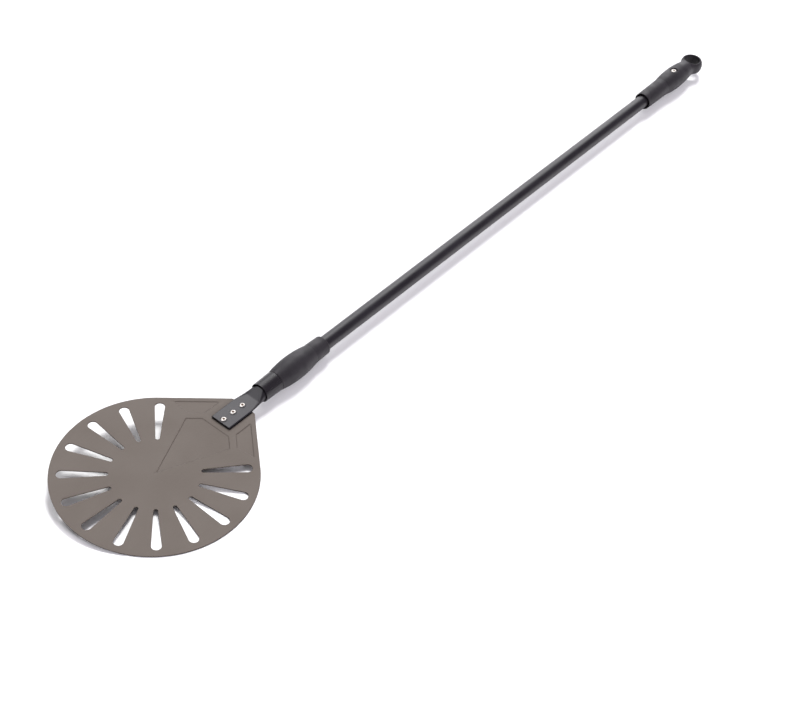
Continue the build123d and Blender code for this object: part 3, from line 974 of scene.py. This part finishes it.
def surface_of(field, low, high, step):
    """A quad mesh of the field's zero level inside the box from low to high.

    The box is cut into cells. Each cell that the surface crosses gets one point, and each edge between
    cells that the surface crosses gets the quad that joins the points of the four cells round it.
    """
    counts = np.ceil((np.array(high) - np.array(low)) / step).astype(int) + 1
    axes = [low[a] + step * np.arange(counts[a]) for a in range(3)]
    corner = np.stack(np.meshgrid(*axes, indexing="ij"), -1)
    negative = (field(corner.reshape(-1, 3)) < 0).reshape(counts)
    cells = counts - 1
    number = np.full(cells, -1)
    offsets = [(i, j, k) for i in (0, 1) for j in (0, 1) for k in (0, 1)]
    total = sum(
        negative[i : i + cells[0], j : j + cells[1], k : k + cells[2]].astype(int) for i, j, k in offsets
    )
    crossed = (total > 0) & (total < 8)
    number[crossed] = np.arange(crossed.sum())
    points = np.array(low) + step * (np.argwhere(crossed) + 0.5)
    quads = []
    for axis in range(3):
        b, c = (axis + 1) % 3, (axis + 2) % 3
        here = [slice(1, cells[a]) if a != axis else slice(0, cells[a]) for a in range(3)]
        after = list(here)
        after[axis] = slice(1, cells[axis] + 1)
        change = negative[tuple(here)] != negative[tuple(after)]
        place = np.argwhere(change) + [s.start for s in here]
        outward = negative[tuple(here)][change]
        ring = []
        for back_b, back_c in ((0, 0), (1, 0), (1, 1), (0, 1)):
            cell = place.copy()
            cell[:, b] -= back_b
            cell[:, c] -= back_c
            ring.append(number[tuple(cell.T)])
        quad = np.column_stack(ring)
        quad[outward] = quad[outward][:, ::-1]
        quads.append(quad)
    return points, np.vstack(quads)


def relaxed(points, quads, field, rounds, step, crease_x):
    """Evens the mesh out along the surface, and holds the points nearest to the crease in its plane."""
    on_crease = np.abs(points[:, 0] - crease_x) < step / 4
    pairs = np.vstack([quads[:, [i, (i + 1) % 4]] for i in range(4)])
    pairs = np.vstack([pairs, pairs[:, ::-1]])
    degree = np.bincount(pairs[:, 0], minlength=len(points))[:, None]
    for _ in range(rounds):
        total = np.zeros_like(points)
        np.add.at(total, pairs[:, 0], points[pairs[:, 1]])
        points = points / 2 + total / np.maximum(degree, 1) / 2
        points = onto_surface(points, field, 2, step / 2)
        points[on_crease, 0] = crease_x
    return points


def build_butt_grip(material):
    step = 0.55 * MM
    margin = 1.5 * MM
    low = np.array(butt_low) - margin
    high = np.array(butt_high) + margin
    # Cell centres lie in the plane of the crisp line where the mouth's cone meets the bulge.
    low[0] = BUTT_KINK_X - (math.ceil((BUTT_KINK_X - low[0]) / step) + 0.5) * step
    points, quads = surface_of(butt_field, low, high, step)
    points = relaxed(points, quads, butt_field, 4, step, BUTT_KINK_X)
    grip = new_piece("butt_grip_with_eye", points, quads, material, sharp_angle=180)
    vertices = grip.data.vertices
    for edge in grip.data.edges:
        ends = [vertices[i].co.x for i in edge.vertices]
        edge.use_edge_sharp = max(abs(x - BUTT_KINK_X) for x in ends) < 0.01 * MM
    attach(grip, "peel")
    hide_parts("butt_grip")


# ---------------------------------------------------------------- stage, light and camera


FLOOR_ALBEDO = 0.85
FLOOR_UNDER_BLADE = -11.5 * MM
FLOOR_LEAN = (-0.03, -0.12)
FLOOR_GAP = 0.05 * MM  # between the floor and what lies on it
FINE_FLOOR = 0.5  # half the side of the finely divided part of the floor
FAR_FLOOR = 6.0

BACK_AZIMUTH = 36  # degrees, from +X anticlockwise
BACKDROP = (1, 1, 1, 1)
ROOM_LIGHT = (0.42, 0.405, 0.44, 1)
REFLECTED_ROOM = (0.22, 0.22, 0.25, 1)
SWEEP_COLOUR = (2.3, 2.3, 2.36, 1)
BACK_BOX_COLOUR = (2.8, 2.8, 2.8, 1)
TOP_BOX_COLOUR = (2.6, 2.6, 2.68, 1)

CAMERA_PLACE = (-0.8729, -0.9168, 1.4374)
CAMERA_AZIMUTH = 34.936  # degrees, like its elevation and roll
CAMERA_ELEVATION = 44.685
CAMERA_ROLL = 6.433
CAMERA_LENS = 78.21  # millimetres, like the sensor's width
CAMERA_SENSOR = 36


def floor_paint():
    n = Material("floor_paint")
    clouds = n.noise(1.5, detail=2)
    base = n.mix(n.ramp(clouds, 0.3, 0.7), grey(FLOOR_ALBEDO - 0.01), grey(FLOOR_ALBEDO + 0.01))
    return n.finish(base, 0.9, specular=0.1)


def smooth_step(value, low, high):
    share = np.clip((value - low) / (high - low), 0, 1)
    return share * share * (3 - 2 * share)


def floor_height(x, y):
    """Level under the handle, and leaning under the blade, whose near rim lies on it."""
    level = min(shell_low.z, butt_low.z) - FLOOR_GAP
    touching = -BLADE_THICKNESS - FLOOR_GAP
    reach = BLADE_RADIUS + 3 * MM
    under_blade = FLOOR_UNDER_BLADE + FLOOR_LEAN[0] * x + FLOOR_LEAN[1] * np.clip(y, -reach, reach)
    under_blade = np.minimum(under_blade, touching)
    beside_handle = smooth_step(x, BLADE_TIP_X + 45 * MM, BLADE_TIP_X - 25 * MM)
    near_blade = smooth_step(np.hypot(x, y), 4 * BLADE_RADIUS, 1.3 * BLADE_RADIUS)
    return level + (under_blade - level) * beside_handle * near_blade


def build_floor():
    lines = np.concatenate([[-FAR_FLOOR], np.linspace(-FINE_FLOOR, FINE_FLOOR, 101), [FAR_FLOOR]])
    x, y = (grid.ravel() for grid in np.meshgrid(lines, lines, indexing="ij"))
    corner = np.arange(len(lines) ** 2).reshape(len(lines), len(lines))
    around = [corner[:-1, :-1], corner[1:, :-1], corner[1:, 1:], corner[:-1, 1:]]
    faces = np.stack(around, axis=-1).reshape(-1, 4)
    floor = new_piece("floor", np.column_stack([x, y, floor_height(x, y)]), faces, floor_paint())


def direction(azimuth, elevation):
    """The unit vector towards the given azimuth, from +X anticlockwise, and elevation, in degrees."""
    a, e = math.radians(azimuth), math.radians(elevation)
    return Vector((math.cos(e) * math.cos(a), math.cos(e) * math.sin(a), math.sin(e)))


def add_sun(name, azimuth, elevation, width, share, colour=(1, 1, 1)):
    """A soft lamp, width degrees across, that adds the given share of white to the floor."""
    lamp = bpy.data.lights.new(name, "SUN")
    lamp.energy = share * math.pi / (FLOOR_ALBEDO * math.sin(math.radians(elevation)))
    lamp.angle = math.radians(width)
    lamp.color = colour
    sun = bpy.data.objects.new(name, lamp)
    sun.rotation_euler = direction(azimuth, elevation).to_track_quat("Z", "Y").to_euler()
    sun.visible_glossy = False
    bpy.context.scene.collection.objects.link(sun)


def glow(n, azimuth, elevation, inner, outer):
    """1 within the inner angle of a direction in the world, and 0 beyond the outer one, in degrees."""
    inner, outer = (math.cos(math.radians(angle)) for angle in (inner, outer))
    return n.ramp(n.dot(n.place, direction(azimuth, elevation)), outer, inner)


def build_world():
    """A white backdrop and a dim room, with softboxes behind and above that only reflections see."""
    world = bpy.data.worlds.new("studio")
    world.use_nodes = True
    bpy.context.scene.world = world
    n = Nodes(world.node_tree, "Generated")
    seen = n.tree.nodes.new("ShaderNodeLightPath")
    behind = n.ramp(n.dot(n.place, direction(BACK_AZIMUTH, 0)), 0.1, 0.5)
    across = n.math("ABSOLUTE", n.dot(n.place, direction(BACK_AZIMUTH + 90, 0)))
    low = n.ramp(n.dot(n.place, (0, 0, 1)), 0.6, 0.9, 1, 0)
    sweep = n.math("MULTIPLY", n.math("MULTIPLY", behind, n.ramp(across, 0.2, 0.55, 1, 0)), low)
    back_box = glow(n, BACK_AZIMUTH, elevation=50, inner=8, outer=26)
    top_box = glow(n, azimuth=112, elevation=62, inner=16, outer=36)
    reflected = n.mix(sweep, REFLECTED_ROOM, SWEEP_COLOUR, "ADD")
    reflected = n.mix(back_box, reflected, BACK_BOX_COLOUR, "ADD")
    reflected = n.mix(top_box, reflected, TOP_BOX_COLOUR, "ADD")
    lit = n.mix(seen.outputs["Is Glossy Ray"], ROOM_LIGHT, reflected)
    colour = n.mix(seen.outputs["Is Camera Ray"], lit, BACKDROP)
    n.link(colour, n.tree.nodes["Background"].inputs["Color"])


def build_light():
    add_sun("back_softbox", azimuth=32, elevation=50, width=20, share=0.75)
    add_sun("side_softbox", azimuth=80, elevation=32, width=28, share=0.2)
    add_sun("front_fill", azimuth=268, elevation=22, width=14, share=0.34, colour=(1.03, 1.0, 1.07))
    build_world()


def build_camera():
    roll = math.radians(CAMERA_ROLL)
    back = -direction(CAMERA_AZIMUTH, -CAMERA_ELEVATION)
    right = back.cross(Vector((0, 0, -1))).normalized()
    up = back.cross(right)
    rolled_right = right * math.cos(roll) + up * math.sin(roll)
    rolled_up = back.cross(rolled_right)
    data = bpy.data.cameras.new("camera")
    data.sensor_width = CAMERA_SENSOR
    data.lens = CAMERA_LENS
    camera = bpy.data.objects.new("camera", data)
    turn = Matrix((rolled_right, rolled_up, back)).transposed()
    camera.matrix_world = Matrix.Translation(CAMERA_PLACE) @ turn.to_4x4()
    bpy.context.scene.collection.objects.link(camera)
    bpy.context.scene.camera = camera
    bpy.context.scene.view_settings.view_transform = "Standard"


# ---------------------------------------------------------------- the whole peel

build_blade(anodised_sheet())
build_handle(powder_coat())
build_all_rivets(rivet_metal(), stem_steel())
build_grip_sleeve(sleeve_plastic())
grip_material = grip_plastic()
build_grip_shell(grip_material)
build_butt_grip(grip_material)
build_floor()
build_light()
build_camera()
